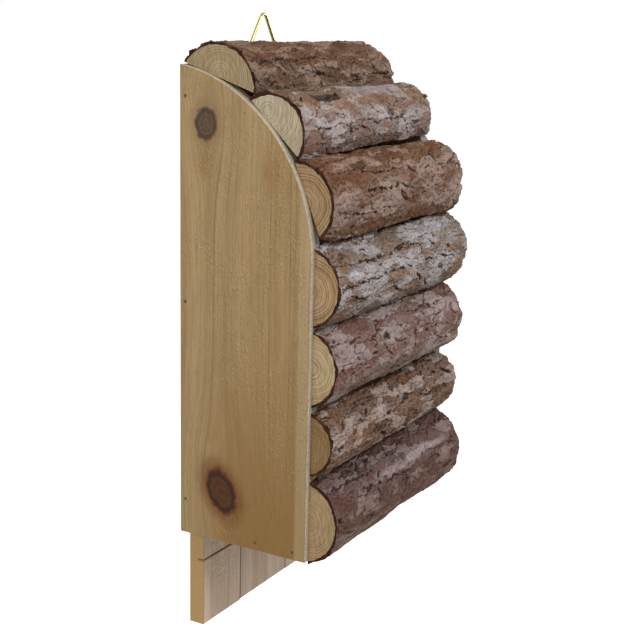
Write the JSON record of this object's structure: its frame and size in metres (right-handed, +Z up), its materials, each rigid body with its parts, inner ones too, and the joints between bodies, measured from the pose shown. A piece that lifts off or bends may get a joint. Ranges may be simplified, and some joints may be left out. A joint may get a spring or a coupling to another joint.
{
  "type": "insect hotel",
  "caption": "Tall wall-hung softwood box with curved side panels, a front and top of half-logs in their bark, a low landing board and a wire hanging loop.",
  "frame": {"origin": "on the wall plane behind the box and on its centre line, at the nail that the hanging loop's apex bend sits on", "axes": "+X to the right of someone facing the box, +Y into the wall, +Z up"},
  "size_m": [0.222, 0.139, 0.4668],
  "materials": {
    "panel_softwood": "sawn and planed softwood, bare",
    "back_softwood": "planed softwood, bare",
    "log_wood_and_bark": "flaky bark over sawn end grain",
    "nail_steel": "dull wire nail",
    "brass": "bright drawn wire and strip"
  },
  "bodies": {
    "box": {"side_panel_left": "panel_softwood", "side_panel_right": "panel_softwood", "back_stave_left": "back_softwood", "back_stave_middle": "back_softwood", "back_stave_right": "back_softwood", "floor_board": "back_softwood", "half_log_1": "log_wood_and_bark", "half_log_2": "log_wood_and_bark", "half_log_3": "log_wood_and_bark", "half_log_4": "log_wood_and_bark", "half_log_5": "log_wood_and_bark", "half_log_6": "log_wood_and_bark", "half_log_7": "log_wood_and_bark", "back_nails_left": "nail_steel", "floor_nails_left": "nail_steel", "log_nails_left": "nail_steel", "back_nails_right": "nail_steel", "floor_nails_right": "nail_steel", "log_nails_right": "nail_steel", "hanger_strap": "brass", "hanger_screws": "brass"},
    "loop": {"hanger_loop": "brass"}
  },
  "joints": [
    {"name": "loop_hinge", "type": "hinge", "parent": "box", "child": "loop", "pos_m": [0, 0.00225, -0.03419], "axis": [-1, 0, 0], "range_deg": [0, 178]}
  ]
}
